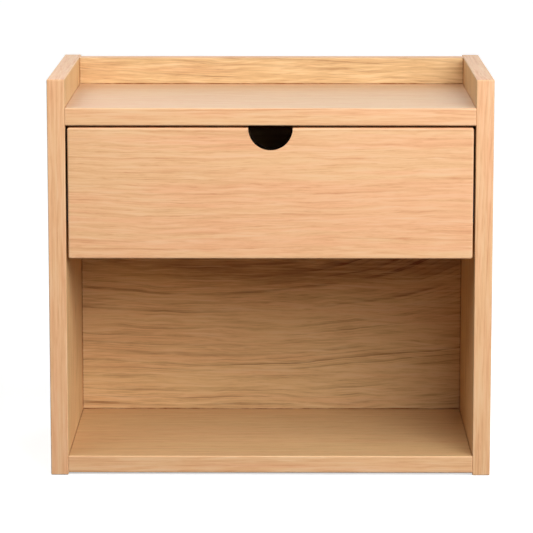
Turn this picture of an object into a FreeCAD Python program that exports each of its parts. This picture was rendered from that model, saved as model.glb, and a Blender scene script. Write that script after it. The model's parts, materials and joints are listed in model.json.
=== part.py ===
"""A small oak bedside cabinet with one drawer over an open niche, to stand or to hang on a wall.

Frame: X to the right, Y to the back, Z up; the origin is under the middle of the cabinet, at the height
of the two side boards' lower ends. Sizes are millimetres and stand in the document's spreadsheet, and
every place is an expression of those sizes. Each board, runner member and group of fasteners is an
object of its own, whose Label names its file.
"""

import FreeCAD, Part
import Sketcher
import math
import os
import re
from FreeCAD import Vector

SIZES = {
    # carcass
    "cabinet_width": 400.0,
    "cabinet_depth": 230.0,
    "cabinet_height": 362.0,
    "board": 16.0,
    "foot_drop": 2.0,
    "gallery": 25.5,
    "panel_setback": 14.0,
    "arris": 1.0,
    "front_arris": 1.5,
    # drawer face and its finger notch
    "face_height": 118.5,
    "face_top_gap": 2.0,
    "face_side_gap": 2.0,
    "face_corner": 1.8,
    "notch_radius": 20.0,
    "notch_land": 2.5,
    # drawer box
    "wall": 12.0,
    "box_rise": 8.0,
    "box_rear_gap": 15.0,
    "wall_arris": 0.8,
    "bottom_thick": 5.0,
    "bottom_rise": 8.0,
    "groove_depth": 5.0,
    "groove_play": 0.2,
    # runners
    "runner_thick": 12.7,
    "runner_height": 35.0,
    "runner_rise": 40.0,
    "runner_front_gap": 3.0,
    "runner_rear_gap": 17.0,
    "steel": 1.2,
    "bend_outside": 0.9,
    "member_clear": 0.4,
    "member_play": 0.7,
    "flange_gap": 1.2,
    "ball": 3.0,
    "ball_play": 0.1,
    "balls_per_row": 6,
    "ball_pitch": 11.0,
    "cage_end": 5.5,
    "cage_thick": 0.6,
    "cage_play": 0.15,
    "buffer_length": 4.0,
    "buffer_gap": 0.3,
    # hanging rail and its wall screw holes
    "rail_height": 50.0,
    "rail_end_gap": 0.5,
    "wall_screw_spacing": 240.0,
    "wall_screw_bore": 5.5,
    # cam fittings
    "cam_width": 15.0,
    "cam_past_middle": 4.5,
    "cam_reach": 24.0,
    "cam_edge": 37.0,
    "panel_cam_edge": 60.0,
    "bolt_thread": 6.0,
    "bolt_thread_length": 11.0,
    "bolt_bore": 8.0,
    "bolt_neck": 3.2,
    "bolt_head": 6.4,
    "bolt_head_length": 3.0,
    "bolt_play": 0.3,
    "cam_recess_arm": 8.0,
    "cam_recess_slot": 1.4,
    "cam_recess_deep": 2.0,
    # dowels
    "dowel": 8.0,
    "dowel_bevel": 0.8,
    "dowel_in_board": 20.0,
    "dowel_in_face": 10.0,
    "dowel_edge": 69.0,
    "panel_dowel_edge": 17.0,
    "panel_dowel_spacing": 192.0,
    "wall_dowel": 6.0,
    "wall_dowel_in_board": 17.0,
    "wall_dowel_in_face": 8.0,
    "wall_dowel_low": 30.0,
    "wall_dowel_high": 15.0,
    # screws
    "screw": 4.0,
    "screw_grip": 12.0,
    "screw_head": 8.0,
    "screw_head_thick": 2.2,
    "screw_edge": 50.0,
    "rail_screw_edge": 30.0,
    "runner_screw": 3.5,
    "runner_screw_grip": 10.0,
    "runner_screw_head": 6.0,
    "runner_screw_head_thick": 1.6,
    "runner_screw_edge": 22.0,
    "head_dome": 0.9,
    "tip_bevel": 1.5,
    "recess_arm": 3.4,
    "recess_slot": 0.8,
    "recess_deep": 0.9,
    "play": 0.1,
}

# Places, as expressions of the sizes. Left and right are mirrored, so x is written for the right half.
HALF = "(cabinet_width / 2)"
FRONT = "(-cabinet_depth / 2)"
REAR = "(cabinet_depth / 2)"
INNER = "(cabinet_width / 2 - board)"
PANEL_REAR = f"({REAR} - panel_setback)"
PANEL_FRONT = f"({PANEL_REAR} - board)"
PANEL_MIDDLE = f"({PANEL_REAR} - board / 2)"
BASE_TOP = "(foot_drop + board)"
BASE_MIDDLE = "(foot_drop + board / 2)"
TOP_FACE = "(cabinet_height - gallery)"
TOP_UNDER = f"({TOP_FACE} - board)"
TOP_MIDDLE = f"({TOP_FACE} - board / 2)"
FACE_TOP = f"({TOP_UNDER} - face_top_gap)"
FACE_BOTTOM = f"({FACE_TOP} - face_height)"
FACE_HALF = f"({INNER} - face_side_gap)"
FACE_REAR = f"({FRONT} + board)"
BOX_HALF = f"({INNER} - runner_thick)"
BOX_INNER = f"({BOX_HALF} - wall)"
BOX_FRONT = FACE_REAR
BOX_REAR = f"({PANEL_FRONT} - box_rear_gap)"
BOX_BOTTOM = f"({FACE_BOTTOM} + box_rise)"
BOX_TOP = f"({FACE_TOP} - notch_radius - notch_land)"
BOTTOM_UNDER = f"({BOX_BOTTOM} + bottom_rise)"
RUNNER_FRONT = f"({BOX_FRONT} + runner_front_gap)"
RUNNER_REAR = f"({BOX_REAR} - runner_rear_gap)"
RUNNER_Z = f"({BOX_BOTTOM} + runner_rise)"
MOVING_REAR = f"({RUNNER_REAR} - buffer_length - buffer_gap)"
WALL_SCREW_Z = f"(({BOX_TOP} + {TOP_UNDER}) / 2)"
RAIL_LOW = f"({WALL_SCREW_Z} - rail_height / 2)"
RAIL_HIGH = f"({WALL_SCREW_Z} + rail_height / 2)"

# Runner section: how far each member stands from the side board, and its height.
MIDDLE_STEP = "(steel + runner_screw_head_thick + member_clear)"
MIDDLE_TIP = "(runner_thick - steel - flange_gap)"
CABINET_TIP = f"({MIDDLE_TIP} - member_play)"
MEMBER_LIP = "(ball + ball_play - member_play)"
MIDDLE_HEIGHT = "(runner_height - 2 * (steel + ball + ball_play))"
DRAWER_HEIGHT = f"({MIDDLE_HEIGHT} - 2 * (steel + ball + ball_play))"
CAGE_WIDTH = f"({MIDDLE_TIP} - {MIDDLE_STEP} - 2 * (steel + cage_play))"
BALL_SEAT = "(steel + (ball + ball_play) / 2)"
BALL_ROWS = {
    "outer": (f"({CABINET_TIP} / 2)", f"(runner_height / 2 - {BALL_SEAT})"),
    "inner": (f"(({MIDDLE_STEP} + {MIDDLE_TIP}) / 2)", f"({MIDDLE_HEIGHT} / 2 - {BALL_SEAT})"),
}
BALLS_START = f"(({RUNNER_FRONT} + {MOVING_REAR} - ball_pitch * (balls_per_row - 1)) / 2)"

# Fastener rows: where they lie along the boards that they join.
SHELF_CAM_Y = (f"({FRONT} + cam_edge)", f"({PANEL_FRONT} - cam_edge)")
SHELF_DOWEL_Y = (f"({FRONT} + dowel_edge)", f"({PANEL_FRONT} - dowel_edge)")
SHELF_MIDDLES = (BASE_MIDDLE, TOP_MIDDLE)
PANEL_CAM_Z = ("(foot_drop + panel_cam_edge)", f"({RAIL_LOW} - panel_cam_edge)")
PANEL_DOWEL_Z = ("(foot_drop + panel_dowel_edge)", "(cabinet_height - panel_dowel_edge)")
PANEL_CAMS = [(PANEL_MIDDLE, z) for z in PANEL_CAM_Z]
PANEL_DOWELS = [(PANEL_MIDDLE, z) for z in PANEL_DOWEL_Z]
CARCASS_BOLTS = [(y, z) for y in SHELF_CAM_Y for z in SHELF_MIDDLES] + PANEL_CAMS
SIDE_DOWELS = [(y, z) for y in SHELF_DOWEL_Y for z in SHELF_MIDDLES] + PANEL_DOWELS
PANEL_DOWEL_X = ("(-panel_dowel_spacing / 2)", "(panel_dowel_spacing / 2)")
REAR_DOWELS = [(x, z) for x in PANEL_DOWEL_X for z in SHELF_MIDDLES]
WALL_SCREWS = [(x, WALL_SCREW_Z) for x in ("(-wall_screw_spacing / 2)", "(wall_screw_spacing / 2)")]
CAM_X = (f"(cam_reach - {INNER})", f"({INNER} - cam_reach)")
CAM_DEEP = "(board / 2 + cam_past_middle)"
RAIL_SCREW_X = (f"(rail_screw_edge - {INNER})", f"({INNER} - rail_screw_edge)")
RAIL_SCREWS = [(x, WALL_SCREW_Z) for x in RAIL_SCREW_X]
WALL_DOWEL_Y = (f"({BOX_FRONT} + wall / 2)", f"({BOX_REAR} - wall / 2)")
WALL_DOWEL_Z = (f"({BOX_BOTTOM} + wall_dowel_low)", f"({BOX_TOP} - wall_dowel_high)")
BOX_DOWELS = [(y, z) for y in WALL_DOWEL_Y for z in WALL_DOWEL_Z]
FACE_SCREW_X = (f"(screw_edge - {BOX_HALF})", f"({BOX_HALF} - screw_edge)")
FACE_SCREWS = [(x, z) for x in FACE_SCREW_X for z in WALL_DOWEL_Z]
RUNNER_SCREW_Y = (f"({RUNNER_FRONT} + runner_screw_edge)", f"({RUNNER_REAR} - runner_screw_edge)")
RUNNER_SCREWS = [(y, RUNNER_Z) for y in RUNNER_SCREW_Y]

# Each side of the cabinet: its sign, the way out to that side, and the way in from it.
SIDES = {"left": (-1, "-x", "+x"), "right": (1, "+x", "-x")}
PLANES = {"x": "YZ_Plane", "y": "XZ_Plane", "z": "XY_Plane"}
NORMAL = {"x": "+", "y": "-", "z": "+"}
ACROSS = {"x": (1, 2), "y": (0, 2), "z": (0, 1)}
ALIAS = re.compile(r"\b(" + "|".join(SIZES) + r")\b")
UP = Vector(0, 0, 1)
TINY = 1e-5
FULL_TURN = 360

doc = FreeCAD.newDocument("bedside_cabinet")


def make_sheet():
    """The spreadsheet of driving dimensions: a name, its number and the alias that binds to it."""
    sheet = doc.addObject("Spreadsheet::Sheet", "sizes")
    for row, (alias, size) in enumerate(SIZES.items(), start=1):
        sheet.set(f"A{row}", alias)
        sheet.set(f"B{row}", str(size))
        sheet.setAlias(f"B{row}", alias)
    doc.recompute()
    return sheet


SHEET = make_sheet()


def bound(expression):
    """An expression with its sizes written as cells of the sheet."""
    return ALIAS.sub(r"sizes.\1", expression)


def number(expression):
    """What an expression of the sizes comes to."""
    return float(SHEET.evalExpression(ALIAS.sub(r"\1", expression)))


def place(item, low):
    """Binds an object's Placement to three expressions."""
    for axis, expression in zip("xyz", low):
        item.setExpression(f"Placement.Base.{axis}", bound(expression))


def new_sketch(body, name, normal, height="0"):
    """A sketch on one of the body's own planes, moved to a height along X, Y or Z."""
    sketch = body.newObject("Sketcher::SketchObject", name)
    plane = next(p for p in body.Origin.OriginFeatures if p.Role == PLANES[normal])
    sketch.AttachmentSupport = [(plane, "")]
    sketch.MapMode = "FlatFace"
    sketch.setExpression("AttachmentOffset.Base.z", bound(f"{NORMAL[normal]}1 * ({height})"))
    return sketch


def fix(sketch, kind, geometry, vertex, expression):
    """Holds a vertex at a bound distance from the sketch's origin."""
    row = sketch.addConstraint(
        Sketcher.Constraint(kind, -1, 1, geometry, vertex, number(expression))
    )
    sketch.setExpression(f"Constraints[{row}]", bound(expression))


def outline(sketch, corners):
    """A closed outline of straight lines through corners, each corner two expressions."""
    spots = [Vector(number(u), number(v), 0) for u, v in corners]
    first = sketch.GeometryCount
    for start, end in zip(spots, spots[1:] + spots[:1]):
        sketch.addGeometry(Part.LineSegment(start, end), False)
    for index, (u, v) in enumerate(corners):
        before = (index - 1) % len(corners)
        sketch.addConstraint(
            Sketcher.Constraint("Coincident", first + before, 2, first + index, 1)
        )
        fix(sketch, "DistanceX", first + index, 1, u)
        fix(sketch, "DistanceY", first + index, 1, v)


def circles(sketch, centres, width):
    """Circles of one bound diameter about centres, each centre two expressions."""
    for u, v in centres:
        middle = Vector(number(u), number(v), 0)
        rim = sketch.addGeometry(Part.Circle(middle, UP, number(width) / 2), False)
        fix(sketch, "DistanceX", rim, 3, u)
        fix(sketch, "DistanceY", rim, 3, v)
        row = sketch.addConstraint(Sketcher.Constraint("Diameter", rim, number(width)))
        sketch.setExpression(f"Constraints[{row}]", bound(width))


def prism(label, normal, corners, low, length):
    """A body whose outline, in its own frame at low, is padded along +X, +Y or +Z."""
    body = doc.addObject("PartDesign::Body", label)
    body.Label = label
    sketch = new_sketch(body, f"{label}_outline", normal)
    outline(sketch, corners)
    pad = body.newObject("PartDesign::Pad", f"{label}_pad")
    pad.Profile = sketch
    pad.setExpression("Length", bound(length))
    pad.Reversed = NORMAL[normal] == "-"
    place(body, low)
    doc.recompute()
    return body


def group(label, low):
    """An empty body for several separate solids, whose own frame stands at low."""
    body = doc.addObject("PartDesign::Body", label)
    body.Label = label
    body.AllowCompound = True
    place(body, low)
    return body


def board(label, low, high):
    """A rectangular board between two corners of the cabinet's frame."""
    size = [f"(({top}) - ({bottom}))" for bottom, top in zip(low, high)]
    corners = [("0", "0"), (size[0], "0"), (size[0], size[1]), ("0", size[1])]
    return prism(label, "z", corners, low, size[2])


def local(body, axis, expression):
    """An expression of the cabinet's frame, in the body's own frame."""
    corner = dict(body.ExpressionEngine)[f".Placement.Base.{axis}"]
    return f"({expression}) - ({corner.replace('sizes.', '')})"


def pocket(body, name, face, level, depth, draw):
    """Cuts what draw puts in a sketch, from the side named by face, such as "+x", into the body."""
    sign, axis = face
    sketch = new_sketch(body, f"{body.Label}_{name}_sketch", axis, local(body, axis, level))
    draw(sketch)
    cut = body.newObject("PartDesign::Pocket", f"{body.Label}_{name}")
    cut.Profile = sketch
    cut.setExpression("Length", bound(depth))
    cut.Reversed = sign != NORMAL[axis]
    doc.recompute()


def bore(body, name, face, level, depth, width, centres):
    """Round holes from a face, with centres given in the cabinet's frame across that face."""
    axis = face[1]
    u, v = ("xyz"[n] for n in ACROSS[axis])
    spots = [(local(body, u, a), local(body, v, b)) for a, b in centres]
    pocket(body, name, face, level, depth, lambda sketch: circles(sketch, spots, width))


def groove(body, name, face, level, depth, low, high):
    """A rectangular groove from a face, between two corners given in the cabinet's frame."""
    axis = face[1]
    u, v = ("xyz"[n] for n in ACROSS[axis])
    left, right = local(body, u, low[0]), local(body, u, high[0])
    down, up = local(body, v, low[1]), local(body, v, high[1])
    corners = [(left, down), (right, down), (right, up), (left, up)]
    pocket(body, name, face, level, depth, lambda sketch: outline(sketch, corners))


def discs(body, name, toward, level, length, width, centres):
    """Pads round discs from a level toward, such as "+x", with centres in the cabinet's frame."""
    sign, axis = toward
    u, v = ("xyz"[n] for n in ACROSS[axis])
    spots = [(local(body, u, a), local(body, v, b)) for a, b in centres]
    sketch = new_sketch(body, f"{body.Label}_{name}_sketch", axis, local(body, axis, level))
    circles(sketch, spots, width)
    pad = body.newObject("PartDesign::Pad", f"{body.Label}_{name}")
    pad.Profile = sketch
    pad.setExpression("Length", bound(length))
    pad.Reversed = sign != NORMAL[axis]
    doc.recompute()


def soften(body, name, radius, wanted):
    """Rounds the edges of the body that wanted(edge) picks."""
    base = body.Tip
    edges = [f"Edge{n}" for n, edge in enumerate(base.Shape.Edges, start=1) if wanted(edge)]
    fillet = body.newObject("PartDesign::Fillet", f"{body.Label}_{name}")
    fillet.Base = (base, edges)
    fillet.setExpression("Radius", bound(radius))
    doc.recompute()


def bevel(body, name, size, wanted):
    """Chamfers the edges of the body that wanted(edge) picks."""
    base = body.Tip
    edges = [f"Edge{n}" for n, edge in enumerate(base.Shape.Edges, start=1) if wanted(edge)]
    chamfer = body.newObject("PartDesign::Chamfer", f"{body.Label}_{name}")
    chamfer.Base = (base, edges)
    chamfer.setExpression("Size", bound(size))
    doc.recompute()


def repeat(body, name, feature, sketch, step, count):
    """Repeats a feature of the body in a row along its sketch's vertical axis."""
    row = body.newObject("PartDesign::LinearPattern", f"{body.Label}_{name}")
    row.Originals = [feature]
    row.Direction = (sketch, ["V_Axis"])
    row.setExpression("Length", bound(f"{step} * ({count} - 1)"))
    row.setExpression("Occurrences", bound(count))
    body.Tip = row
    doc.recompute()


def along(edge, axis):
    """True for a straight edge that runs along X, Y or Z."""
    if edge.Curve.TypeId != "Part::GeomLine":
        return False
    run = edge.Vertexes[-1].Point - edge.Vertexes[0].Point
    return abs(abs(getattr(run.normalize(), axis)) - 1) < TINY


def at(edge, axis, level):
    """True for an edge that lies at one level of X, Y or Z, in its body's own frame."""
    box = edge.BoundBox
    low, high = getattr(box, f"{axis.upper()}Min"), getattr(box, f"{axis.upper()}Max")
    return abs(low - level) < TINY and abs(high - level) < TINY


def every(edge):
    """Picks every edge."""
    return edge.Length > 0


def ring(edge):
    """Picks every round edge."""
    return edge.Curve.TypeId == "Part::GeomCircle"


def ring_at(body, axis, level, width):
    """Picks the round edges of one width at one level of the cabinet's frame."""
    height, radius = number(local(body, axis, level)), number(width) / 2

    def wanted(edge):
        """True for such an edge."""
        return ring(edge) and at(edge, axis, height) and abs(edge.Curve.Radius - radius) < TINY

    return wanted


def front_long(edge):
    """Picks the two long edges of a shelf's front."""
    return along(edge, "x") and at(edge, "y", 0)


def side_boards():
    """The two side boards, bored for shelves, back panel and runner screws on their inner faces."""
    for side, (sign, _, face) in SIDES.items():
        inner = f"({sign} * {INNER})"
        low_x, high_x = sorted((f"({sign} * {HALF})", inner), key=number)
        body = board(f"{side}_side", (low_x, FRONT, "0"), (high_x, REAR, "cabinet_height"))
        soften(body, "arris", "arris", every)
        holes = {
            "bolts": ("bolt_thread_length", "bolt_thread", CARCASS_BOLTS),
            "dowels": ("dowel_in_face", "dowel", SIDE_DOWELS),
            "screws": ("runner_screw_grip", "runner_screw", RUNNER_SCREWS),
        }
        for name, (depth, width, spots) in holes.items():
            bore(body, name, face, inner, f"{depth} + play", f"{width} + play", spots)


def bore_ends(body, bolts, dowels):
    """Bores for cam bolts and dowels in both ends of a board between the sides."""
    for side, (sign, face, _) in SIDES.items():
        end = f"({sign} * {INNER})"
        bore(body, f"{side}_bolts", face, end, "cam_reach", "bolt_bore", bolts)
        bore(body, f"{side}_dowels", face, end, "dowel_in_board + play", "dowel + play", dowels)


def bore_cams(body, face, level, rows):
    """Bores for the cams in a face of a board between the sides, at rows along its two ends."""
    spots = [(x, row) for x in CAM_X for row in rows]
    bore(body, "cams", face, level, f"{CAM_DEEP} + play", "cam_width + play", spots)


def shelves():
    """The bottom shelf and the top shelf, rounded along the front and butted to the back panel."""
    levels = {"bottom_shelf": ("foot_drop", BASE_TOP), "top_shelf": (TOP_UNDER, TOP_FACE)}
    for (label, (under, top)), middle in zip(levels.items(), SHELF_MIDDLES):
        body = board(label, (f"(-{INNER})", FRONT, under), (INNER, PANEL_FRONT, top))
        soften(body, "arris", "front_arris", front_long)
        bore_ends(body, [(y, middle) for y in SHELF_CAM_Y], [(y, middle) for y in SHELF_DOWEL_Y])
        bore_cams(body, "-z", under, SHELF_CAM_Y)
        spots = [(x, middle) for x in PANEL_DOWEL_X]
        depth = "dowel_in_board + play"
        bore(body, "rear_dowels", "+y", PANEL_FRONT, depth, "dowel + play", spots)


def back_panel():
    """The back panel: the upstand behind the top shelf, and the back of the drawer space and niche."""
    low, high = (f"(-{INNER})", PANEL_FRONT, "foot_drop"), (INNER, PANEL_REAR, "cabinet_height")
    body = board("back_panel", low, high)
    soften(body, "arris", "arris", every)
    bore_ends(body, PANEL_CAMS, PANEL_DOWELS)
    bore_cams(body, "+y", PANEL_REAR, PANEL_CAM_Z)
    depth = "dowel_in_face + play"
    bore(body, "shelf_dowels", "-y", PANEL_FRONT, depth, "dowel + play", REAR_DOWELS)
    depth = "screw_grip + play"
    bore(body, "rail_screws", "+y", PANEL_REAR, depth, "screw + play", RAIL_SCREWS)
    bore(body, "wall_screws", "+y", PANEL_REAR, "board", "wall_screw_bore", WALL_SCREWS)


def hanging_rail():
    """The rail behind the back panel that the wall screws pull against."""
    end = f"({INNER} - rail_end_gap)"
    body = board("hanging_rail", (f"(-{end})", PANEL_REAR, RAIL_LOW), (end, REAR, RAIL_HIGH))
    soften(body, "arris", "wall_arris", lambda edge: along(edge, "x"))
    bore(body, "screws", "+y", REAR, "panel_setback", "screw + play", RAIL_SCREWS)
    depth = "screw_head_thick + play"
    bore(body, "heads", "+y", REAR, depth, "screw_head + play", RAIL_SCREWS)
    bore(body, "wall_screws", "+y", REAR, "panel_setback", "wall_screw_bore", WALL_SCREWS)


def drawer_face():
    """The drawer's face, rounded all round, with a half-round finger notch cut crisply through."""
    low, high = (f"(-{FACE_HALF})", FRONT, FACE_BOTTOM), (FACE_HALF, FACE_REAR, FACE_TOP)
    body = board("drawer_face", low, high)
    soften(body, "corners", "face_corner", lambda edge: along(edge, "y"))
    faces = (0, number("board"))
    soften(body, "arris", "front_arris", lambda edge: any(at(edge, "y", y) for y in faces))
    bore(body, "notch", "-y", FRONT, "board", "2 * notch_radius", [("0", FACE_TOP)])
    bore(body, "screws", "+y", FACE_REAR, "screw_grip + play", "screw + play", FACE_SCREWS)


def box_wall(label, low, high, lengthways, inward, inner):
    """A wall of the drawer box, rounded along its top and grooved inside for the drawer's bottom.

    lengthways is the axis that the wall runs along, inward the way that its inner face looks, and
    inner where that face lies.
    """
    body = board(label, low, high)
    top = number(f"{BOX_TOP} - {BOX_BOTTOM}")
    soften(body, "arris", "wall_arris", lambda edge: along(edge, lengthways) and at(edge, "z", top))
    across = "xyz".index(lengthways)
    slot_top = f"({BOTTOM_UNDER} + bottom_thick + groove_play)"
    ends = ((low[across], BOTTOM_UNDER), (high[across], slot_top))
    groove(body, "groove", inward, inner, "groove_depth", *ends)
    return body


def drawer_side_walls():
    """The left and right walls of the drawer box, which carry the runners' drawer members."""
    for side, (sign, outward, inward) in SIDES.items():
        inner, outer = f"({sign} * {BOX_INNER})", f"({sign} * {BOX_HALF})"
        low_x, high_x = sorted((inner, outer), key=number)
        low, high = (low_x, BOX_FRONT, BOX_BOTTOM), (high_x, BOX_REAR, BOX_TOP)
        body = box_wall(f"drawer_{side}_wall", low, high, "y", inward, inner)
        depth = "wall_dowel_in_face + play"
        bore(body, "dowels", inward, inner, depth, "wall_dowel + play", BOX_DOWELS)
        depth = "runner_screw_grip + play"
        bore(body, "screws", outward, outer, depth, "runner_screw + play", RUNNER_SCREWS)


def drawer_cross_wall(label, front, rear, inward, inner, middle):
    """A wall of the drawer box between its side walls, doweled into them at both ends."""
    low, high = (f"(-{BOX_INNER})", front, BOX_BOTTOM), (BOX_INNER, rear, BOX_TOP)
    body = box_wall(label, low, high, "x", inward, inner)
    spots = [(middle, z) for z in WALL_DOWEL_Z]
    for side, (sign, face, _) in SIDES.items():
        depth = "wall_dowel_in_board + play"
        end = f"({sign} * {BOX_INNER})"
        bore(body, f"{side}_dowels", face, end, depth, "wall_dowel + play", spots)
    return body


def drawer_cross_walls():
    """The inner front, which the drawer's face is screwed to, and the back wall."""
    front_dowels, back_dowels = WALL_DOWEL_Y
    seat = f"({BOX_FRONT} + wall)"
    body = drawer_cross_wall("drawer_inner_front", BOX_FRONT, seat, "+y", seat, front_dowels)
    bore(body, "screws", "+y", seat, "wall", "screw + play", FACE_SCREWS)
    seat = f"({BOX_REAR} - wall)"
    drawer_cross_wall("drawer_back_wall", seat, BOX_REAR, "-y", seat, back_dowels)


def drawer_bottom():
    """The thin bottom panel, held in the grooves of the four walls."""
    reach = f"({BOX_INNER} + groove_depth - groove_play)"
    front = f"({BOX_FRONT} + wall - groove_depth + groove_play)"
    rear = f"({BOX_REAR} - wall + groove_depth - groove_play)"
    under = f"({BOTTOM_UNDER} + groove_play / 2)"
    low, high = (f"(-{reach})", front, under), (reach, rear, f"({under} + bottom_thick)")
    board("drawer_bottom", low, high)


def channel(label, sign, step, height, reach, lip, length, way):
    """A runner member: a folded steel channel with its web upright and its flanges level.

    step is how far the web's outer face is from the side board, height the channel's height over its
    flanges, reach how far the flanges run from that face, and lip how far their ends turn in.
    way is the sign of the flanges' direction along X.
    """
    half = f"({height} / 2)"
    under = f"({half} - steel)"
    upper = [("0", half), (reach, half)]
    if lip:
        folded, back = f"({under} - {lip})", f"({reach} - steel)"
        upper += [(reach, folded), (back, folded), (back, under)]
    else:
        upper += [(reach, under)]
    upper += [("steel", under)]
    lower = [(u, f"(-{v})") for u, v in reversed(upper)]
    corners = [(f"{way} * {u}", v) for u, v in upper + lower]
    low = (f"({sign} * ({INNER} - {step}))", RUNNER_FRONT, RUNNER_Z)
    body = prism(label, "y", corners, low, length)
    bends = [(0, number(half))] + ([(number(reach), number(half))] if lip else [])

    def at_bend(edge):
        """Picks the outside edges of the folds."""
        if not along(edge, "y"):
            return False
        spot = edge.Vertexes[0].Point
        return any(abs(abs(spot.x) - u) < TINY and abs(abs(spot.z) - w) < TINY for u, w in bends)

    soften(body, "bends", "bend_outside", at_bend)
    return body


def runners():
    """Both runners: cabinet member, middle member and drawer member, nested, with their buffers."""
    whole = f"({RUNNER_REAR} - {RUNNER_FRONT})"
    moving = f"({MOVING_REAR} - {RUNNER_FRONT})"
    middle_reach = f"({MIDDLE_TIP} - {MIDDLE_STEP})"
    drawer_reach = f"(runner_thick - {MIDDLE_STEP} - steel - flange_gap)"
    width = "runner_screw + play"
    for side, (sign, outward, inward) in SIDES.items():
        label = f"runner_{side}_cabinet_member"
        size = ("0", "runner_height", CABINET_TIP, MEMBER_LIP, whole)
        body = channel(label, sign, *size, -sign)
        bore(body, "holes", outward, f"({sign} * {INNER})", "steel", width, RUNNER_SCREWS)
        label = f"runner_{side}_middle_member"
        size = (MIDDLE_STEP, MIDDLE_HEIGHT, middle_reach, MEMBER_LIP, moving)
        channel(label, sign, *size, -sign)
        label = f"runner_{side}_drawer_member"
        size = ("runner_thick", DRAWER_HEIGHT, drawer_reach, None, moving)
        body = channel(label, sign, *size, sign)
        bore(body, "holes", inward, f"({sign} * {BOX_HALF})", "steel", width, RUNNER_SCREWS)
        runner_buffer(side, sign)


def runner_buffer(side, sign):
    """The plastic buffer in the rear end of a cabinet member, which stops the moving members."""
    faces = (f"({sign} * ({INNER} - steel))", f"({sign} * ({INNER} - {CABINET_TIP}))")
    low_x, high_x = sorted(faces, key=number)
    half = f"({MIDDLE_HEIGHT} / 2)"
    low = (low_x, f"({RUNNER_REAR} - buffer_length)", f"({RUNNER_Z} - {half})")
    high = (high_x, RUNNER_REAR, f"({RUNNER_Z} + {half})")
    body = board(f"runner_{side}_buffer", low, high)
    soften(body, "edges", "wall_arris", lambda edge: at(edge, "y", 0))


def ball_rows():
    """The steel balls between the members, an upper and a lower row to each group."""
    for side, (sign, _, _) in SIDES.items():
        for row, (u, w) in BALL_ROWS.items():
            low = (f"({sign} * ({INNER} - {u}))", BALLS_START, RUNNER_Z)
            body = group(f"runner_{side}_{row}_balls", low)
            for level, height in (("upper", w), ("lower", f"-{w}")):
                sketch = new_sketch(body, f"{body.Label}_{level}_sketch", "z", height)
                half_disc(sketch, "ball")
                turn = body.newObject("PartDesign::Revolution", f"{body.Label}_{level}")
                turn.Profile = sketch
                turn.ReferenceAxis = (sketch, ["V_Axis"])
                turn.Angle = FULL_TURN
                doc.recompute()
                repeat(body, f"{level}_row", turn, sketch, "ball_pitch", "balls_per_row")


def half_disc(sketch, width):
    """Half of a disc about the sketch's origin, to be turned about the sketch's vertical axis."""
    radius = number(width) / 2
    quarter = math.pi / 2
    rim = Part.Circle(Vector(0, 0, 0), UP, radius)
    arc = sketch.addGeometry(Part.ArcOfCircle(rim, -quarter, quarter), False)
    ends = (Vector(0, radius, 0), Vector(0, -radius, 0))
    chord = sketch.addGeometry(Part.LineSegment(*ends), False)
    sketch.addConstraint(Sketcher.Constraint("Coincident", arc, 2, chord, 1))
    sketch.addConstraint(Sketcher.Constraint("Coincident", chord, 2, arc, 1))
    sketch.addConstraint(Sketcher.Constraint("Coincident", arc, 3, -1, 1))
    sketch.addConstraint(Sketcher.Constraint("PointOnObject", chord, 1, -2))
    row = sketch.addConstraint(Sketcher.Constraint("Diameter", arc, number(width)))
    sketch.setExpression(f"Constraints[{row}]", bound(width))


def ball_cages():
    """The thin steel strips that keep the balls apart, an upper and a lower one to each group."""
    thick, wide = "(cage_thick / 2)", f"({CAGE_WIDTH} / 2)"
    length = "(ball_pitch * (balls_per_row - 1) + 2 * cage_end)"
    for side, (sign, _, _) in SIDES.items():
        for row, (u, w) in BALL_ROWS.items():
            low = (f"({sign} * ({INNER} - {u}))", f"({BALLS_START} - cage_end)", RUNNER_Z)
            body = group(f"runner_{side}_{row}_cage", low)
            sketch = new_sketch(body, f"{body.Label}_outline", "y")
            for middle in (w, f"-{w}"):
                down, up = f"({middle} - {thick})", f"({middle} + {thick})"
                outline(sketch, [(f"-{wide}", down), (wide, down), (wide, up), (f"-{wide}", up)])
            pad = body.newObject("PartDesign::Pad", f"{body.Label}_pad")
            pad.Profile = sketch
            pad.setExpression("Length", bound(length))
            pad.Reversed = True
            doc.recompute()
            top, deep = f"({RUNNER_Z} + {w} + {thick})", f"(2 * {w} + cage_thick)"
            bore(body, "holes", "+z", top, deep, "ball + 2 * play", [(low[0], BALLS_START)])
            hole = body.Tip
            repeat(body, "hole_row", hole, hole.Profile[0], "ball_pitch", "balls_per_row")


def carcass_dowels():
    """The dowels between shelves and sides, back panel and sides, and shelves and back panel."""
    body = group("carcass_dowels", ("0", PANEL_FRONT, "0"))
    length = "(dowel_in_board + dowel_in_face)"
    for side, (sign, outward, _) in SIDES.items():
        start = f"({sign} * ({INNER} - dowel_in_board))"
        discs(body, side, outward, start, length, "dowel", SIDE_DOWELS)
    discs(body, "rear", "+y", f"({PANEL_FRONT} - dowel_in_board)", length, "dowel", REAR_DOWELS)
    bevel(body, "ends", "dowel_bevel", ring)


def drawer_dowels():
    """The small dowels at the corners of the drawer box."""
    body = group("drawer_dowels", ("0", BOX_FRONT, BOX_BOTTOM))
    length = "(wall_dowel_in_board + wall_dowel_in_face)"
    for side, (sign, outward, _) in SIDES.items():
        start = f"({sign} * ({BOX_INNER} - wall_dowel_in_board))"
        discs(body, side, outward, start, length, "wall_dowel", BOX_DOWELS)
    bevel(body, "ends", "dowel_bevel", ring)


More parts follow.
